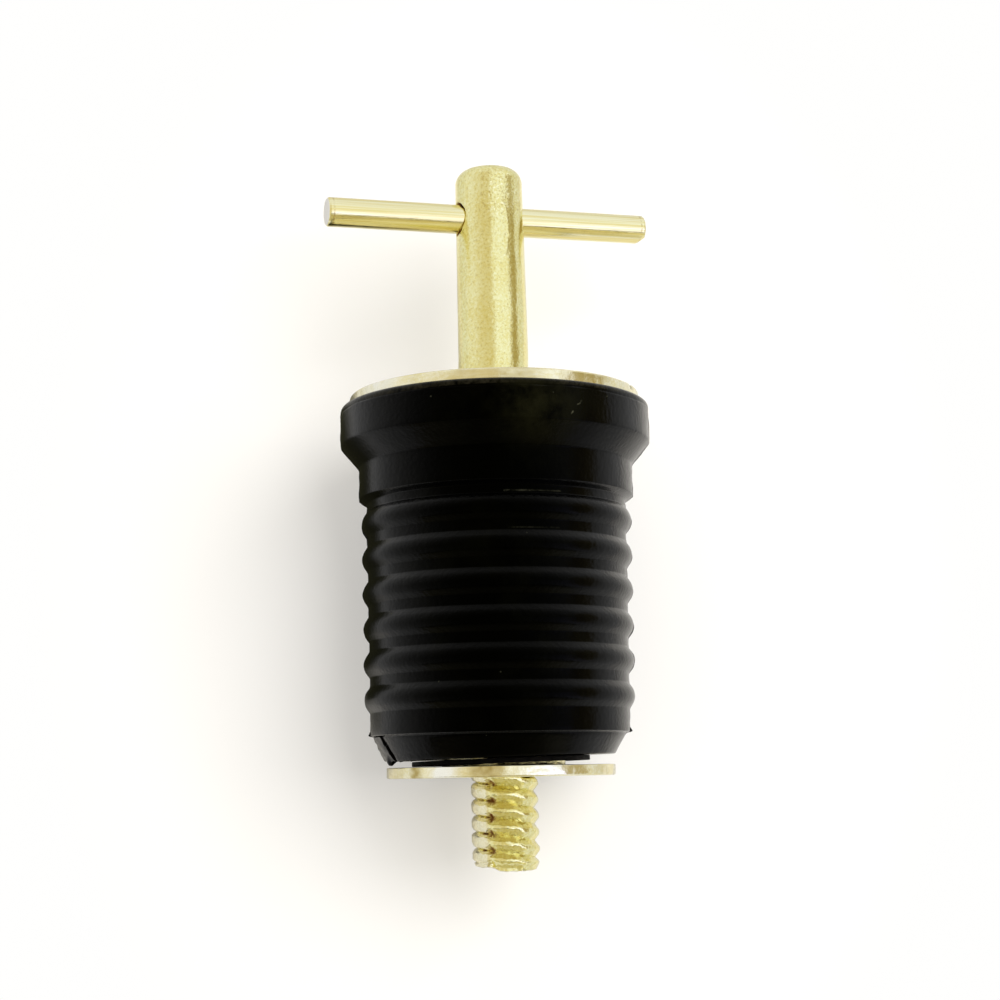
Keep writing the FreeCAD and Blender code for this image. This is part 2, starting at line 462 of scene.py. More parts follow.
# short pale scratches on the rim, and painted reflections as streaks in two bays: start and end as
# (degrees from the viewer, station, radius), width, strength
scratchesAndSheen = [
    ((32.2, 31.15, 14.7), (31.4, 30.85, 14.7), 0.09, 0.55),
    ((31.4, 30.85, 14.7), (30.4, 30.75, 14.7), 0.08, 0.5),
    ((28.6, 30.1, 14.7), (27.8, 29.85, 14.6), 0.12, 0.5),
    ((44.1, 31.85, 14.7), (43.4, 31.75, 14.7), 0.08, 0.35),
    # the last four are painted reflections, streaks in two bays
    ((3.5, 23.3, 12.26), (15.0, 23.3, 12.26), 0.14, 0.24),
    ((15.0, 23.3, 12.26), (28.0, 23.3, 12.26), 0.12, 0.15),
    ((5.0, 20.0, 12.24), (16.0, 20.0, 12.24), 0.12, 0.07),
    ((16.0, 20.0, 12.24), (27.0, 20.0, 12.24), 0.12, 0.05),
]


def makeRubber():
    finish, tree, surface, own = startFinish("mouldedRubber")
    r = rubberTone
    skin = useGroup(tree, castSkin, Vector=own, Peel=2.6, Lumps=0.5, Lump_Share=0.45)
    relief = skin.outputs["Height"]
    dust = useGroup(tree, scatteredSpecks, Vector=own, Spacing=0.75, Size=0.07, Rarity=0.8)
    bloom = noiseAt(tree, own, 0.22, 5.0, 0.6)
    tone = blendColour(tree, ease(tree, bloom, 0.45, 0.75), r["black"], r["bloom"])
    # the skin above the trim line is paler
    station = put(tree, "ShaderNodeSeparateXYZ", {0: own}).outputs[2]
    paleAboveTrim = times(tree, ease(tree, station, r["paleAboveTrimFrom"], r["paleAboveTrimFrom"] + 0.12),
                   ease(tree, relief, 0.35, 0.65))
    tone = blendColour(tree, paleAboveTrim, tone, r["paleAboveTrim"])
    # a painted olive reflection on the rim's face, right of the middle
    spot = vec2(tree, "DISTANCE", own, onPlug(*r["oliveReflectionAt"]), "Value")
    reflectionShare = times(tree, ease(tree, spot, 1.0, 6.0, 1.0, 0.0), ease(tree, bloom, 0.35, 0.6))
    tone = blendColour(tree, reflectionShare, tone, r["oliveReflection"])
    # dust, scratches and the painted streaks of reflection share the pale colour
    marksAndSheen = times(tree, dust.outputs["Mask"], 0.25)
    for start, end, width, strength in scratchesAndSheen:
        mark = useGroup(tree, strokeMask, Vector=own, Start=onPlug(*start), End=onPlug(*end),
                        Width=width)
        marksAndSheen = math2(tree, "MAXIMUM", marksAndSheen, times(tree, mark.outputs["Mask"], strength))
    marksAndSheen = times(tree, marksAndSheen, ease(tree, noiseAt(tree, own, 1.3, 5.0, 0.7), 0.36, 0.60))
    tree.links.new(blendColour(tree, marksAndSheen, tone, r["markAndSheenTone"]), surface.inputs["Base Color"])
    tree.links.new(ease(tree, relief, 0.35, 0.65, r["rough"], r["smooth"]),
                   surface.inputs["Roughness"])
    surface.inputs["IOR"].default_value = 1.5
    surface.inputs["Specular Tint"].default_value = r["gloss"]
    feedBump(tree, surface, relief, r["bump"])
    return finish


fibreTone = {"light": (0.011, 0.010, 0.009, 1), "deep": (0.003, 0.003, 0.003, 1), "bump": 0.00005}


def makeFibre():
    finish, tree, surface, own = startFinish("blackFibre")
    skin = useGroup(tree, castSkin, Vector=own, Peel=7.0, Lumps=1.1, Lump_Share=0.3)
    tree.links.new(blendColour(tree, skin.outputs["Tone"], fibreTone["deep"], fibreTone["light"]),
                   surface.inputs["Base Color"])
    surface.inputs["Specular Tint"].default_value = rubberTone["gloss"]
    tree.links.new(ease(tree, skin.outputs["Height"], 0.3, 0.7, 0.75, 0.55),
                   surface.inputs["Roughness"])
    feedBump(tree, surface, skin.outputs["Height"], fibreTone["bump"])
    return finish


castBrass = makeCastBrass()
sheetBrass = makeSheetBrass()
mouldedRubber = makeRubber()
blackFibre = makeFibre()
print("finishes ready")

# rubber body

rubber = {
    "endRadius": 10.65, "bevelRadius": 11.7, "bevelTop": 2.05, "lowRadius": 12.08,
    "highRadius": 12.25, "firstRib": 5.48, "ribPitch": 3.29, "ribs": 6, "ribHeight": 0.55,
    "ribHalf": 1.2, "landHalf": 0.4, "neckTop": 23.83, "collarLow": 24.28, "collarTop": 27.30,
    "collarRadius": 12.96, "rimLow": 29.40, "rimRadius": 14.7, "top": 33.05, "boreRadius": 3.4,
    "pocketAcross": 10.4, "pocketFrom": -0.6, "pocketDepth": 4.03, "squeezed": 0.879,
    # steps round, the longest edge of the outline, and stretches (low, high, shorter edge)
    "steps": 256, "edge": 0.45, "fine": [(32.0, 32.6, 0.06), (1.7, 2.6, 0.1), (0.01, 1.7, 0.22)],
    # small unevenness: its swell, the rim held in a little, the trim line and the mould's flash
    "swell": 0.022, "rimFrom": 14, "rimInset": 0.012, "trimLine": 32.38, "trimDepth": 0.05,
    "bevelGroove": 0.05, "flash": 0.09, "flashSpike": 2.2, "flashHalf": 0.08,
    "endSlope": 0.017, "endFlat": 6.0,
    # finer faces where the end is torn: first plane and the step to the next, in degrees
    "tornFrom": -70.0, "tornStep": 0.36, "tornPlanes": 26,
    # the sliver there, the crack beside it and the tip below the end
    "sliverOut": 0.16, "crackAt": -62.0, "crackDepth": 0.20, "tipAt": -70, "tipLength": 0.42,
}


def rubberCorners():
    r = rubber
    corners = [(r["boreRadius"], 0, 0), (r["endRadius"], 0, 0.12),
               (r["bevelRadius"], r["bevelTop"], 0.05),
               (r["lowRadius"], r["bevelTop"] + 0.12, 0.08)]
    draft = r["highRadius"] - r["lowRadius"]
    # corners at both ends of the finer stretch round the trim line
    fineLow, fineHigh = r["fine"][0][:2]
    for k in range(r["ribs"]):
        crest = r["firstRib"] + k * r["ribPitch"]
        below, above = (r["lowRadius"] + draft * i / r["ribs"] for i in (k, k + 1))
        corners += [(below, crest - r["ribHalf"], 0.07),
                    (below + r["ribHeight"], crest - r["landHalf"], 0.39),
                    (below + r["ribHeight"], crest + r["landHalf"], 0.39),
                    (above, crest + r["ribHalf"], 0.07)]
    corners += [(r["highRadius"], r["neckTop"], 0.12), (r["collarRadius"], r["collarLow"], 0.07),
                (r["collarRadius"], r["collarTop"], 0.14), (r["rimRadius"], r["rimLow"], 0.12),
                (r["rimRadius"], fineLow, 0), (r["rimRadius"], fineHigh, 0),
                (r["rimRadius"], r["top"], 0.42), (r["boreRadius"], r["top"], 0)]
    return corners


def cutFiner(bm):
    # beside the mould's flash, and where the end is torn
    r = rubber
    for side in (-r["flashHalf"], r["flashHalf"]):
        cutPlane(bm, (0, side, 0), (0, 1, 0))
    for step in range(r["tornPlanes"]):
        angle = math.radians(r["tornFrom"] + r["tornStep"] * step)
        torn = [f for f in bm.faces
                if f.calc_center_median().z < 2.1 and f.calc_center_median().x < -8]
        nearby = {part for f in torn for part in (*f.verts, *f.edges)}
        cutPlane(bm, (0, 0, 0), (math.cos(angle), math.sin(angle), 0), torn + list(nearby))


def shapeRubber(vert):
    r = rubber
    co = vert.co
    angle, station, radius = facing(co), co.z, math.hypot(co.x, co.y)
    if radius < r["boreRadius"] + 0.1 or station < 0.001 or station > r["top"] - 0.001:
        return
    around = Vector((math.sin(math.radians(angle)), math.cos(math.radians(angle)), 0))
    amount = r["swell"] * noise.noise(around * 3 + Vector((0, 0, station * 0.3)))
    if radius > r["rimFrom"]:
        amount -= r["rimInset"]
        line = r["trimLine"] + 0.10 * noise.noise(around * 4 + Vector((5, 0, 0)))
        broken = 0.7 + 0.8 * noise.noise(around * 9)
        amount -= r["trimDepth"] * bump(station - line, 0.06) * broken
    amount -= r["bevelGroove"] * bump(station - r["bevelTop"] - 0.05, 0.09)
    if abs(co.y) < 0.05 and station > r["bevelTop"] - 0.2:
        ragged = 0.7 + 0.9 * noise.noise(Vector((co.x, 3, station * 0.9)))
        spike = r["flashSpike"] * bump(station - r["bevelTop"] - 0.22, 0.16)
        amount += r["flash"] * (ragged + spike)
    # a torn sliver stands off the bevel at the lower left, beside a crack
    if station < r["bevelTop"] - 0.02 and -100 < angle < -50:
        crack = r["crackAt"] - 2.6 * station + 0.7 * noise.noise(Vector((3, 0, station * 2.2)))
        jagged = 0.10 * noise.noise(Vector((angle * 0.12, 7, station * 3.2)))
        amount += ((r["sliverOut"] + jagged) * easeStep(angle, crack + 0.3, crack - 0.7)
                   * easeStep(angle, -92, -84))
        amount -= r["crackDepth"] * bump(angle - crack, 0.45) * easeStep(station, 2.03, 1.8)
    pushOut(vert, amount)


def shapeRubberEnd(vert):
    # the sliver's tip hangs below the end face, which is ragged beside it and was cut askew
    r = rubber
    co = vert.co
    angle, radius = facing(co), math.hypot(co.x, co.y)
    if co.z < 0.3 and radius > r["endRadius"] - 0.35:
        ragged = easeStep(angle, -64, -60) * easeStep(angle, -38, -44)
        ragged *= 0.07 + 0.10 * noise.noise(Vector((angle * 0.5, 0, 0)))
        co.z -= r["tipLength"] * bump(angle - r["tipAt"], 2.0) + ragged
    if radius > r["endFlat"]:
        slope = r["endSlope"] * co.x
        slope *= easeStep(co.z, r["bevelTop"], 0.2)
        co.z += slope * easeStep(radius, r["endFlat"], 8.0)


def makeRubberBody():
    r = rubber
    bm = bmesh.new()
    drawOutline(bm, rubberCorners(), closed=True)
    splitLong(bm, r["edge"], r["fine"])
    bmesh.ops.remove_doubles(bm, verts=bm.verts, dist=0.0005)
    spinRound(bm, r["steps"])
    cutFiner(bm)
    for vert in bm.verts:
        shapeRubber(vert)
        shapeRubberEnd(vert)
    body = makePiece("rubberBody", bm)
    pocket = bmesh.new()
    hexPrism(pocket, r["pocketAcross"], r["pocketFrom"], r["pocketDepth"])
    cutAway(body, makePiece("pocketTool", pocket))
    leaned = bmesh.new()
    leaned.from_mesh(body.data)
    lean(leaned)
    leaned.to_mesh(body.data)
    leaned.free()
    layDown(body, mouldedRubber, 50, "bung", "rubber_plug")
    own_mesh(body)


makeRubberBody()

# washers and plate

topRing = {"inner": 3.4, "outer": 13.8, "low": 33.05, "high": 34.12, "edge": 0.2, "nickAt": 68.5,
           "nickDepth": 0.28, "steps": 256}


def makeTopWasher():
    t = topRing
    bm = bmesh.new()
    drawOutline(bm, [(t["inner"], t["low"], 0.05), (t["outer"], t["low"], 0.08),
                     (t["outer"], t["high"], t["edge"]), (t["inner"], t["high"], 0.1)], closed=True)
    splitLong(bm, 1.5, [(t["low"] + 0.1, t["high"] - 0.1, 0.12)])
    spinRound(bm, t["steps"])
    for vert in bm.verts:
        radius = math.hypot(vert.co.x, vert.co.y)
        if radius < t["outer"] - 0.3:
            continue
        co = vert.co
        amount = 0.02 * noise.noise(Vector((co.x, co.y, 0)) * 0.35) - 0.012
        amount += 0.012 * noise.noise(Vector((co.x * 1.2, co.y * 1.2, co.z * 3)))
        nick = bump(facing(co) - t["nickAt"], 1.1)
        nick *= easeStep(co.z, t["high"] - 0.6, t["high"] - 0.15)
        pushOut(vert, min(0, amount) - t["nickDepth"] * nick)
    lean(bm, askew["topShare"])
    washer = makePiece("topWasher", bm)
    markEdge(washer.data, t["outer"], washerEdge)
    layDown(washer, sheetBrass, 50, "bung", "top_washer")


makeTopWasher()

thinRing = {"inner": 6.02, "outer": 8.3, "low": -0.72, "high": -0.27, "tiltDeg": 1.27,
            "lift": 0.195, "fray": 0.05, "steps": 192}


def makeThinWasher():
    t = thinRing
    bm = bmesh.new()
    drawOutline(bm, [(t["inner"], t["low"], 0.05), (t["outer"], t["low"], 0.08),
                     (t["outer"], t["high"], 0.08), (t["inner"], t["high"], 0.05)],
                closed=True, segments=3)
    splitLong(bm, 0.9)
    spinRound(bm, t["steps"])
    for vert in bm.verts:
        if math.hypot(vert.co.x, vert.co.y) > t["outer"] - 0.2:
            pushOut(vert, -t["fray"] * abs(noise.noise(Vector((vert.co.x, vert.co.y, 0)) * 0.8)))
    lean(bm)
    # it lies on the plate at the left and against the rubber at the right
    for vert in bm.verts:
        vert.co.z += t["lift"] + vert.co.x * math.radians(t["tiltDeg"])
    washer = makePiece("thinWasher", bm)
    layDown(washer, blackFibre, 50, "washer", "friction_washer")


makeThinWasher()

plate = {"radius": 10.65, "low": -1.77, "high": -0.77, "bore": 3.21, "chamfer": 0.3, "edge": 0.2,
         "hubAcross": 10.0, "hubTop": 3.23, "hubEdge": 0.12, "wave": 0.03, "steps": 224}


def makeBottomPlate():
    p = plate
    bm = bmesh.new()
    drawOutline(bm, [(p["bore"], p["high"] - 0.02, 0), (p["bore"], p["low"] + p["chamfer"], 0),
                     (p["bore"] + p["chamfer"], p["low"], 0.06), (p["radius"], p["low"], p["edge"]),
                     (p["radius"], p["high"], 0.08), (p["bore"] + 0.5, p["high"], 0)], closed=True)
    splitLong(bm, 1.2, [(p["low"] + 0.1, p["high"] - 0.1, 0.12)])
    spinRound(bm, p["steps"])
    for vert in bm.verts:
        if math.hypot(vert.co.x, vert.co.y) > p["radius"] - 0.3:
            rough = p["wave"] * noise.noise(Vector((vert.co.x, vert.co.y, vert.co.z * 2)) * 0.9)
            pushOut(vert, min(0, rough - p["wave"] / 2))
    lean(bm)
    disc = makePiece("bottomPlate", bm)
    hub = bmesh.new()
    hexPrism(hub, p["hubAcross"], p["high"] - 0.3, p["hubTop"])
    bmesh.ops.bevel(hub, geom=hub.edges[:], offset=p["hubEdge"], offset_type="OFFSET", segments=2,
                    profile=0.5, affect="EDGES", material=-1)
    hubPiece = makePiece("hub", hub)
    peg = bmesh.new()
    roundPeg(peg, p["bore"], p["low"] - 1, p["hubTop"] + 1, 96)
    cutAway(hubPiece, makePiece("hubTool", peg))
    joinPiece(disc, hubPiece)
    markEdge(disc.data, p["radius"], plateEdge)
    layDown(disc, sheetBrass, 40, "plate", "bottom_plate")


makeBottomPlate()

# cross bar

bar = {"radius": 1.40, "length": 32.3, "offCentre": -0.06, "turnDeg": 18.0, "leanDeg": 0.64,
       "chamfer": 0.15, "sawnShort": 0.09, "sawMarks": 0.018, "cornerCut": 0.46, "wave": 0.012,
       "steps": 96}
barTurn, barLean = math.radians(bar["turnDeg"]), math.radians(bar["leanDeg"])
barAlong = Vector((math.cos(barTurn) * math.cos(barLean), math.sin(barTurn) * math.cos(barLean),
                   math.sin(barLean)))
barStart = Vector((0, 0, plug["barStation"])) + barAlong * (bar["offCentre"] - bar["length"] / 2)
barToPlug = Matrix.Translation(barStart) @ barAlong.to_track_quat("Z", "Y").to_matrix().to_4x4()


drawnTone = {
    "light": (0.95, 0.93, 0.62, 1), "deep": (0.84, 0.73, 0.31, 1), "end": (0.90, 0.88, 0.82, 1),
    # groove is the colour of a painted shade ring behind each end
    "grooveShade": (0.52, 0.38, 0.13, 1), "grooveBack": 0.5, "smooth": 0.05, "rough": 0.13,
    "bump": 0.000022,
}


def makeDrawnBrass():
    finish, tree, surface, own = startFinish("drawnBrass", plugToRow @ barToPlug)
    d = drawnTone
    lines = useGroup(tree, drawnLines, Vector=own, Lines=5.5, Stretch=0.06)
    skin = useGroup(tree, castSkin, Vector=own, Peel=3.5, Lumps=0.3, Lump_Share=0.4)
    streaks, streakTone = lines.outputs
    relief = skin.outputs["Height"]
    tone = blendColour(tree, streakTone, d["deep"], d["light"])
    station = put(tree, "ShaderNodeSeparateXYZ", {0: own}).outputs[2]
    fromMiddle = math2(tree, "ABSOLUTE", math2(tree, "SUBTRACT", station, bar["length"] / 2), 0.0)
    face = bar["length"] / 2 - bar["sawnShort"]
    # a faint broken ring of painted shade, standing for a groove, runs round just behind each end
    ring = math2(tree, "SUBTRACT", fromMiddle, face - d["grooveBack"])
    ring = math2(tree, "ABSOLUTE", ring, 0.0)
    grooveShade = times(tree, ease(tree, ring, 0.04, 0.12, 1.0, 0.0), ease(tree, relief, 0.4, 0.6))
    tone = blendColour(tree, times(tree, grooveShade, 0.7), tone, d["grooveShade"])
    # the sawn ends are paler and greyer than the drawn side
    sawn = ease(tree, fromMiddle, face - 0.05, face - 0.02)
    tree.links.new(blendColour(tree, sawn, tone, d["end"]), surface.inputs["Base Color"])
    rough = ease(tree, streaks, 0.35, 0.65, d["rough"], d["smooth"])
    tree.links.new(math2(tree, "ADD", rough, times(tree, sawn, 0.25)), surface.inputs["Roughness"])
    surface.inputs["Metallic"].default_value = 1.0
    feedBump(tree, surface, math2(tree, "ADD", streaks, times(tree, relief, 0.35)), d["bump"])
    return finish


drawnBrass = makeDrawnBrass()


def makeCrossBar():
    b = bar
    bm = bmesh.new()
    small = b["radius"] - b["chamfer"]
    drawOutline(bm, [(0, 0, 0), (small, 0, 0.04), (b["radius"], b["chamfer"], 0.08),
                     (b["radius"], b["length"] - b["chamfer"], 0.08),
                     (small, b["length"], 0.04), (0, b["length"], 0)], segments=3)
    splitLong(bm, 0.5)
    spinRound(bm, b["steps"])
    for vert in bm.verts:
        co = vert.co
        wave = b["wave"] * noise.noise(Vector((co.x * 0.8, co.y * 0.8, co.z * 0.25)))
        pushOut(vert, min(0.0, wave - b["wave"] / 2))
        if co.z < 0.5:
            co.z += b["sawnShort"] + b["sawMarks"] * noise.noise(Vector((co.x * 1.5, co.y * 6, 0)))
        elif co.z > b["length"] - 0.5:
            co.z -= b["sawnShort"] + b["sawMarks"] * noise.noise(Vector((co.x * 6, co.y * 1.5, 4)))
        # the right end's lower corner is cut away
        if co.z > b["length"] - 1:
            near = easeStep(co.z, b["length"] - 1, b["length"] - 0.4)
            co.z -= b["cornerCut"] * easeStep(-co.y, 0.95, 1.4) * near
    bmesh.ops.transform(bm, matrix=barToPlug, verts=bm.verts)
    layDown(makePiece("crossBar", bm), drawnBrass, 35, "handle", "cross_bar")


makeCrossBar()

# spindle: stem, foot and threaded stud

stem = {
    "top": 56.86, "topRadius": 3.28, "crownDrop": 0.24, "crownRound": 1.25, "crownTilt": 0.012,
    "footTop": 35.77, "footLow": 34.17, "footRadius": 4.8, "lowRadius": 3.40, "shank": 3.07,
    "shankEnd": 7.9, "aside": 0.07, "holeSnug": 1.415, "mouthWidth": 0.34, "mouthDepth": 1.1,
    "scarRim": 0.018, "scarDepth": 0.014, "skinRoom": 0.03, "grimeFrom": 45,
    "steps": 192, "edge": 1.2, "fine": [(37.0, 56.5, 0.14)],
    # pits as (degrees from the viewer, station, depth, width)
    "pits": [(8.1, 52.5, 0.07, 0.14), (-0.4, 48.8, 0.07, 0.13), (29.8, 49.45, 0.08, 0.15),
             (7.8, 48.3, 0.05, 0.12), (11.5, 48.0, 0.05, 0.1), (16.5, 47.7, 0.05, 0.1),
             (23.0, 47.3, 0.06, 0.12), (-21.8, 54.9, 0.06, 0.13), (41.0, 43.2, 0.05, 0.12),
             (-60, 41.0, 0.05, 0.14), (120, 50.0, 0.06, 0.15), (170, 44.5, 0.06, 0.14),
             (-140, 47.5, 0.05, 0.13)],
    # one worn oval with a low rim: degrees, station, half angle, half length
    "scar": (21.0, 50.1, 11.0, 2.7),
}

stud = {
    "crest": 3.13, "root": 2.68, "beadRoot": 2.58, "pitch": 1.5, "end": -10.36, "hiddenTop": 8.0,
    "rootAt": -5.58, "rootAngle": 8.0, "seam": -28.0, "steps": 120, "turnsAbove": 10, "turns": 15,
    # the seam's depth, the right-hand third set low, the worn and broken end
    "seamDepth": 0.16, "thirdLow": 0.22, "endWorn": 0.28, "brokenFrom": 1.2, "brokenLeft": 0.38,
    "brokenRim": 0.16, "brokenRough": 0.14, "capRings": 6, "limit": 3.15,
}


def shapeStem(vert):
    s = stem
    co = vert.co
    radius = math.hypot(co.x, co.y)
    if co.z < s["footTop"] + 0.25 or radius < 0.05:
        return
    angle = facing(co)
    side = Vector((co.x, co.y, 0)) / 3.2
    amount = 0.030 * noise.noise(side * 1.5 + Vector((0, 0, co.z * 0.10)))
    amount += 0.020 * noise.noise(side * 2.6 + Vector((9, 0, co.z * 0.45)))
    amount += 0.006 * noise.noise(Vector((co.x * 2.5, co.y * 2.5, co.z * 2.5)))
    for at, station, depth, width in s["pits"]:
        arc = math.radians(angle - at) * radius
        if abs(arc) < 1 and abs(co.z - station) < 1:
            amount -= depth * bump(math.hypot(arc, co.z - station), width)
    at, station, halfAngle, halfLength = s["scar"]
    ring = math.hypot((angle - at) / halfAngle, (co.z - station) / halfLength)
    if abs(angle - at) < 40:
        amount += s["scarRim"] * bump(ring - 1, 0.12) - s["scarDepth"] * easeStep(ring, 1.0, 0.6)
    pushOut(vert, min(amount, s["skinRoom"]) - s["skinRoom"])
    # it stands a little to the right, and its crown slopes down to the left
    co.x += s["aside"] * easeStep(co.z, s["footTop"], s["footTop"] + 3)
    co.z += (s["crownTilt"] * (co.x - 1.6)) * easeStep(co.z, s["top"] - 2.2, s["top"] - 0.3)


def makeStem():
    s = stem
    bm = bmesh.new()
    drawOutline(bm, [(0, s["top"], 0), (s["topRadius"], s["top"] - s["crownDrop"], s["crownRound"]),
                     (s["lowRadius"], s["footTop"], 0.35), (s["footRadius"], s["footTop"], 0.4),
                     (s["footRadius"], s["footLow"], 0.12), (s["shank"], s["footLow"], 0.05),
                     (s["shank"], s["shankEnd"], 0), (0, s["shankEnd"], 0)], segments=8)
    splitLong(bm, s["edge"], s["fine"])
    spinRound(bm, s["steps"])
    for vert in bm.verts:
        shapeStem(vert)
    piece = makePiece("castSpindle", bm)
    # drilled hole with rough, flared mouths
    middle = bar["length"] / 2 - bar["offCentre"]
    snug, wall, deep = s["holeSnug"], s["lowRadius"], s["mouthDepth"]
    flare = snug + 2 * s["mouthWidth"]
    tool = bmesh.new()
    drawOutline(tool, [(0, middle - wall - 2, 0), (flare, middle - wall - deep, 0),
                       (snug, middle - wall + deep, 0.3), (snug, middle + wall - deep, 0.3),
                       (flare, middle + wall + deep, 0), (0, middle + wall + 2, 0)])
    splitLong(tool, 0.18)
    spinRound(tool, 96)
    for vert in tool.verts:
        co = vert.co
        if abs(co.z - middle) > wall - deep + 0.1:
            pushOut(vert, 0.10 * noise.noise(co * 1.7) + 0.05 * noise.noise(co * 4))
    bmesh.ops.transform(tool, matrix=barToPlug, verts=tool.verts)
    cutAway(piece, makePiece("holeTool", tool))
    return piece


def makeThread():
    s = stud
    bm = bmesh.new()
    # one turn's outline, swept down and round as a left-hand screw
    drawOutline(bm, [(s["root"], 0, 0), (s["crest"], 0.60, 0.15), (s["crest"], 0.90, 0.15),
                     (s["root"], s["pitch"], 0)], segments=4)
    splitLong(bm, 0.28)
    startAngle = math.radians(s["rootAngle"] - 90)
    bmesh.ops.rotate(bm, verts=bm.verts, cent=(0, 0, 0), matrix=Matrix.Rotation(startAngle, 3, "Z"))
    bmesh.ops.translate(bm, verts=bm.verts, vec=(0, 0, s["rootAt"] + s["turnsAbove"] * s["pitch"]))
    bmesh.ops.spin(bm, geom=bm.verts[:] + bm.edges[:], cent=(0, 0, 0), axis=(0, 0, 1),
                   dvec=(0, 0, -s["pitch"] / s["steps"]), angle=2 * math.pi * s["turns"],
                   steps=s["steps"] * s["turns"], use_merge=False, use_duplicate=False)
    bmesh.ops.remove_doubles(bm, verts=bm.verts, dist=0.002)
    for vert in bm.verts:
        shapeThread(vert)
    closeThread(bm)
    breakEnd(bm)
    return bm


def closeThread(bm):
    s = stud
    for station, side in ((s["hiddenTop"], 1), (s["end"], -1)):
        cutPlane(bm, (0, 0, station), (0, 0, side), clear=True)
        rim = [e for e in bm.edges
               if e.is_boundary and all(abs(v.co.z - station) < 0.01 for v in e.verts)]
        bmesh.ops.holes_fill(bm, edges=rim, sides=0)
    bmesh.ops.recalc_face_normals(bm, faces=bm.faces)
    # rings across the end face, so that it can be uneven
    caps = [f for f in bm.faces if len(f.verts) > 20 and f.calc_center_median().z < 0]
    fan = bmesh.ops.poke(bm, faces=caps)
    spokes = [e for v in fan["verts"] for e in v.link_edges]
    bmesh.ops.subdivide_edges(bm, edges=spokes, cuts=s["capRings"])


def breakEnd(bm):
    # the end is broken off lower at the right than at the left
    s = stud
    for vert in bm.verts:
        co = vert.co
        if co.z < s["end"] + s["brokenFrom"]:
            radius = math.hypot(co.x, co.y)
            rise = s["brokenLeft"] * easeStep(-co.x, 0.5, 1.3)
            rise += s["brokenRim"] * easeStep(radius, 2.3, 3.1)
            rise += s["brokenRough"] * abs(noise.noise(Vector((co.x, co.y, 0)) * 0.9))
            co.z += rise * (1 - (co.z - s["end"]) / s["brokenFrom"])


def shapeThread(vert):
    # left of the casting's seam the thread is a row of shallow beads
    s = stud
    co = vert.co
    angle, radius = facing(co), math.hypot(co.x, co.y)
    share = min(1, max(0, (radius - s["root"]) / (s["crest"] - s["root"])))
    beadHeight = s["crest"] - 0.02 - s["beadRoot"]
    beadRadius = s["beadRoot"] + beadHeight * math.sqrt(1 - (1 - share) ** 2)
    offSeam = (angle - s["seam"] + 540) % 360 - 180
    beaded = easeStep(-offSeam, 0, 4) * easeStep(offSeam, -150, -130)
    # the last bead runs out without a groove
    runOut = easeStep(co.z, s["end"] + 0.85, s["end"] + 0.45)
    beadRadius = max(beadRadius, s["beadRoot"] + 0.36 * runOut)
    amount = (beadRadius - radius) * beaded
    amount -= s["seamDepth"] * bump(offSeam, 4.0) * (0.6 + 0.4 * (1 - share))
    amount += 0.035 * noise.noise(co * 1.6) + 0.045 * noise.noise(co * 3.3)
    amount += 0.30 * bump(angle + 88, 9) * bump(co.z + 7.25, 0.28)
    # the right-hand third of the casting sits a little lower
    co.z -= s["thirdLow"] * easeStep(angle, 18, 38) * easeStep(angle, 175, 150)
    # the end is worn smaller
    amount -= s["endWorn"] * easeStep(co.z, s["end"] + 0.9, s["end"]) * share
    pushOut(vert, min(amount, s["limit"] - radius))


def markSurface(mesh):
    # brown dirt in the hole's mouths and where the seam crosses the thread's roots;
    # a painted pale reflection on the beads
    plugToBar = barToPlug.inverted()
    middle = bar["length"] / 2 - bar["offCentre"]
    grime, beadReflections = [], []
    for vert in mesh.vertices:
        co = vert.co
        radius = math.hypot(co.x, co.y)
        dirt = beadReflection = 0.0
        if co.z > stem["grimeFrom"]:
            inBar = plugToBar @ co
            off = math.hypot(inBar.x, inBar.y)
            dirt = easeStep(off, 1.95, 1.6) * easeStep(radius, 3.17, 3.05)
            dirt *= easeStep(abs(inBar.z - middle), 1.5, 2.2)
        elif co.z < stud["hiddenTop"]:
            offSeam = (facing(co) - stud["seam"] + 540) % 360 - 180
            ragged = 0.75 + 1.6 * noise.noise(co * 2.9)
            dirt = ragged * max(1.2 * easeStep(radius, 3.0, 2.78) * bump(offSeam - 3, 6.5),
                                0.8 * easeStep(radius, 2.82, 2.64) * bump(offSeam + 14, 15))
            dirt *= easeStep(co.z, -9.4, -9.0)
            # painted pale reflection on the beads' outer part, left of the seam
            beadReflection = easeStep(offSeam, 2, -8) * easeStep(offSeam, -160, -140)
            beadReflection *= easeStep(radius, 2.6, 2.9)
        grime.append(min(1.0, max(0.0, dirt)))
        beadReflections.append(beadReflection)
    mesh.attributes.new("grime", "FLOAT", "POINT").data.foreach_set("value", grime)
    mesh.attributes.new("beadReflections", "FLOAT", "POINT").data.foreach_set("value", beadReflections)


def makeSpindle():
    spindle = makeStem()
    joinPiece(spindle, makePiece("thread", makeThread()))
    markSurface(spindle.data)
    layDown(spindle, castBrass, 40, "handle", "spindle")


makeSpindle()

# camera, floor, lights

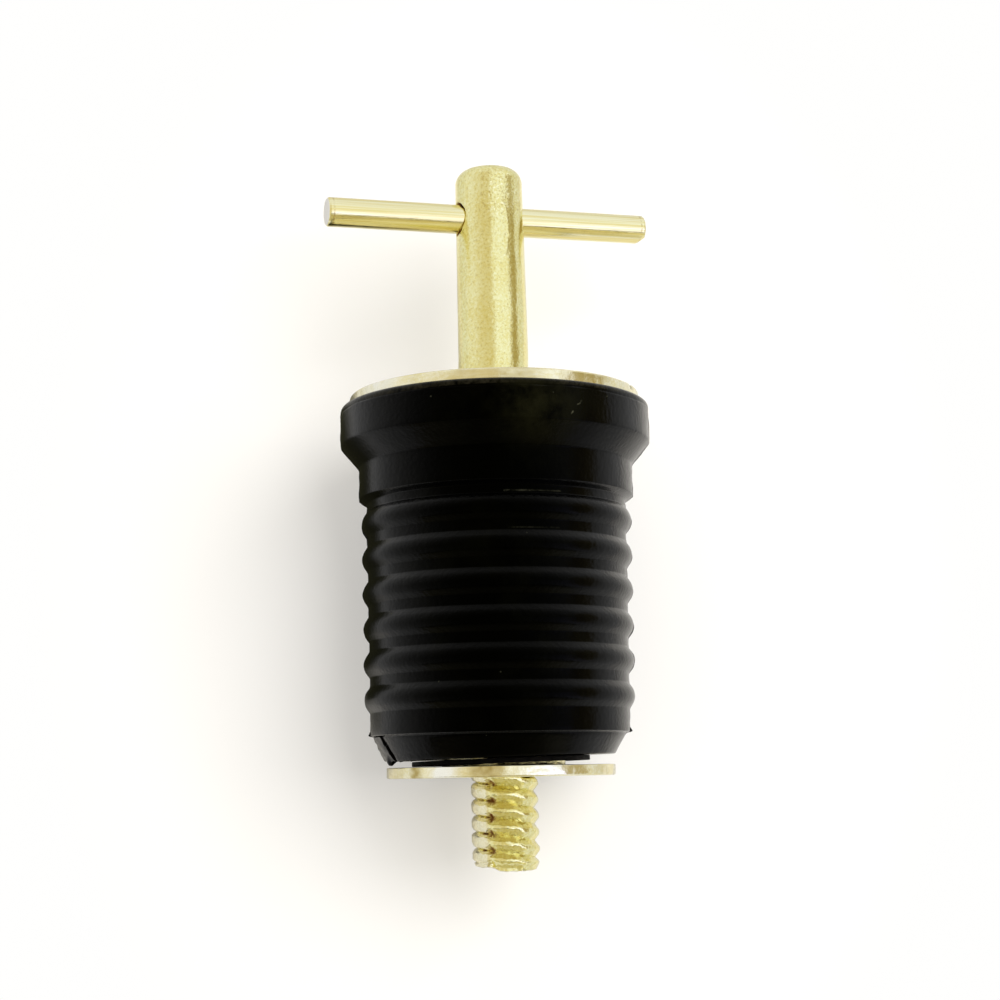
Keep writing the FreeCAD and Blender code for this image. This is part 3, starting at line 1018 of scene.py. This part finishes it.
camera = {"station": -1.39, "height": 170.92, "aside": 0.337, "tiltDeg": 8.535, "rollDeg": -1.593,
          "fieldDeg": 30.77}
tilt, roll = math.radians(camera["tiltDeg"]), math.radians(camera["rollDeg"])
lift = across.cross(along)
ahead = along * math.sin(tilt) - lift * math.cos(tilt)
upward = along * math.cos(tilt) + lift * math.sin(tilt)
camRight = across * math.cos(roll) + upward * math.sin(roll)
camUp = upward * math.cos(roll) - across * math.sin(roll)
camFrom = along * camera["station"] + lift * camera["height"] + across * camera["aside"]
camPlace = origin + camFrom / 1000
cameraData = bpy.data.cameras.new("photoCamera")
cameraData.sensor_fit = "HORIZONTAL"
cameraData.angle = math.radians(camera["fieldDeg"])
cameraData.clip_start, cameraData.clip_end = 0.01, 20
photoCamera = bpy.data.objects.new("photoCamera", cameraData)
camTurn = Matrix((camRight, camUp, -ahead)).transposed().to_4x4()
photoCamera.matrix_world = Matrix.Translation(camPlace) @ camTurn
bpy.context.scene.collection.objects.link(photoCamera)
bpy.context.scene.camera = photoCamera

studio = {
    "paper": (0.95, 0.925, 0.875, 1), "glow": (1, 0.998, 0.99, 1), "nearMix": 0.31,
    "fadeFrom": 0.034, "fadeTo": 0.068, "widen": 1.4,
    # the paper that gloss sees, and the body's shadow on it: middle, half width and length, colour
    "farGlow": 0.80, "nearLoss": 0.20,
    "shade": ((-0.023, 0.000, 0), (0.023, 0.022, 1), (0.06, 0.06, 0.033, 1)),
    "fill": 0.56, "fillColour": (1.0, 0.965, 0.90, 1),
    # what glossy surfaces see of the room
    "horizon": (0.86, 0.85, 0.84, 1), "ceiling": (0.74, 0.67, 0.49, 1),
    "window": (0.98, 1.0, 1.05, 1), "brow": (1.30, 1.33, 1.90, 1), "dim": (0.46, 0.38, 0.20, 1),
    "front": (0.59, 0.53, 0.33, 1), "frontRight": (1.0, 0.95, 0.74, 1),
    "line": (0.10, 0.08, 0.04, 1),
    "floorHalf": 2.0, "floorLevel": -0.00002, "lampsAimAt": (0, 0, 0.014),
    # name, direction from the plug, distance, size, power, colour
    "lamps": [
        ("keyLamp", (0.50, 0.14, 0.85), 0.55, 0.42, 2.8, (0.99, 0.995, 1.02)),
        ("sideLamp", (-0.84, 0.27, 0.47), 0.55, 0.34, 0.10, (0.98, 0.99, 1.0)),
        ("backLamp", (0.0, 0.88, 0.48), 0.6, 0.5, 0.6, (1.0, 0.99, 0.97)),
    ],
}


def seenDirectly(tree, path):
    seen = path.outputs["Is Camera Ray"]
    for kind in ("Is Glossy Ray", "Is Transmission Ray"):
        seen = math2(tree, "MAXIMUM", seen, path.outputs[kind])
    return seen


def makeFloor():
    bm = bmesh.new()
    bmesh.ops.create_grid(bm, x_segments=2, y_segments=2, size=studio["floorHalf"])
    bmesh.ops.translate(bm, verts=bm.verts, vec=(0, 0, studio["floorLevel"]))
    floor = makePiece("paperFloor", bm)
    paper = bpy.data.materials.new("paper")
    paper.use_nodes = True
    tree = paper.node_tree
    tree.nodes.remove(tree.nodes["Principled BSDF"])
    where = put(tree, "ShaderNodeTexCoord").outputs["Object"]
    away = vec2(tree, "LENGTH", vec2(tree, "MULTIPLY", where, (studio["widen"], 1, 1)), out="Value")
    fade = ease(tree, away, studio["fadeFrom"], studio["fadeTo"])
    path = put(tree, "ShaderNodeLightPath")
    byCamera, byGloss = path.outputs["Is Camera Ray"], path.outputs["Is Glossy Ray"]
    # beside the plug the camera sees part glow and part lit paper, and gloss sees dimmer lit paper
    near = math2(tree, "ADD", times(tree, byCamera, studio["nearMix"]),
                 times(tree, byGloss, studio["nearLoss"]))
    amount = math2(tree, "MAXIMUM", near, times(tree, fade, seenDirectly(tree, path)))
    middle, half, shadeTone = studio["shade"]
    inShade = vec2(tree, "DIVIDE", vec2(tree, "SUBTRACT", where, middle), half)
    reach = vec2(tree, "LENGTH", inShade, out="Value")
    shade = times(tree, ease(tree, reach, 0.6, 1.15, 1.0, 0.0), byGloss)
    paperTone = blendColour(tree, shade, studio["paper"], shadeTone)
    lit = put(tree, "ShaderNodeBsdfDiffuse", {"Color": paperTone}).outputs[0]
    glossGlow = times(tree, times(tree, fade, studio["farGlow"]), byGloss)
    strength = math2(tree, "ADD", math2(tree, "SUBTRACT", 1.0, byGloss), glossGlow)
    glow = put(tree, "ShaderNodeEmission",
               {"Color": studio["glow"], "Strength": strength}).outputs[0]
    mixed = put(tree, "ShaderNodeMixShader", {0: amount, 1: lit, 2: glow}).outputs[0]
    tree.links.new(mixed, tree.nodes["Material Output"].inputs["Surface"])
    floor.data.materials.append(paper)


def makeWorld():
    world = bpy.data.worlds.new("paleRoom")
    bpy.context.scene.world = world
    world.use_nodes = True
    tree = world.node_tree
    tree.nodes.clear()
    around = put(tree, "ShaderNodeTexCoord").outputs["Generated"]
    towards = put(tree, "ShaderNodeSeparateXYZ", {0: around})
    east, north, up = towards.outputs

    def both(a, b):
        return times(tree, a, b)
    room = blendColour(tree, ease(tree, up, 0.45, 1.0), studio["horizon"], studio["ceiling"])
    # a wide window high on the right, a dim corner below it, a darker front wall past a dark line
    window = both(both(ease(tree, east, -0.03, 0.24), ease(tree, east, 0.90, 0.76)),
                  ease(tree, north, 1.0, 0.35))
    room = blendColour(tree, window, room, studio["window"])
    brow = both(both(ease(tree, north, -0.57, -0.53), ease(tree, north, 0.06, -0.16)),
                ease(tree, east, 0.30, 0.45))
    room = blendColour(tree, brow, room, studio["brow"])
    dim = both(ease(tree, east, 0.80, 0.93), ease(tree, up, 0.46, 0.36))
    room = blendColour(tree, dim, room, studio["dim"])
    front = blendColour(tree, ease(tree, east, 0.42, 0.62), studio["front"], studio["frontRight"])
    room = blendColour(tree, ease(tree, north, -0.61, -0.68), room, front)
    line = both(ease(tree, north, -0.59, -0.63), ease(tree, north, -0.70, -0.66))
    room = blendColour(tree, line, room, studio["line"])
    path = put(tree, "ShaderNodeLightPath")
    # seen straight on, the room is plain white
    room = blendColour(tree, path.outputs["Is Glossy Ray"], (1, 1, 1, 1), room)
    seen = put(tree, "ShaderNodeBackground", {"Color": room, "Strength": 1.0}).outputs[0]
    fill = put(tree, "ShaderNodeBackground",
               {"Color": studio["fillColour"], "Strength": studio["fill"]}).outputs[0]
    mixed = put(tree, "ShaderNodeMixShader",
                {0: seenDirectly(tree, path), 1: fill, 2: seen}).outputs[0]
    out = put(tree, "ShaderNodeOutputWorld")
    tree.links.new(mixed, out.inputs["Surface"])


def makeLamps():
    # gloss sees the window instead of the lamps
    target = Vector(studio["lampsAimAt"])
    for name, towards, distance, size, power, colour in studio["lamps"]:
        data = bpy.data.lights.new(name, "AREA")
        data.shape, data.size, data.energy, data.color = "SQUARE", size, power, colour
        lamp = bpy.data.objects.new(name, data)
        lamp.visible_glossy = False
        direction = Vector(towards).normalized()
        lamp.location = target + direction * distance
        lamp.rotation_euler = direction.to_track_quat("Z", "Y").to_euler()
        bpy.context.scene.collection.objects.link(lamp)


makeFloor()
makeWorld()
makeLamps()
bpy.context.scene.view_settings.view_transform = "Standard"
print("stage ready")
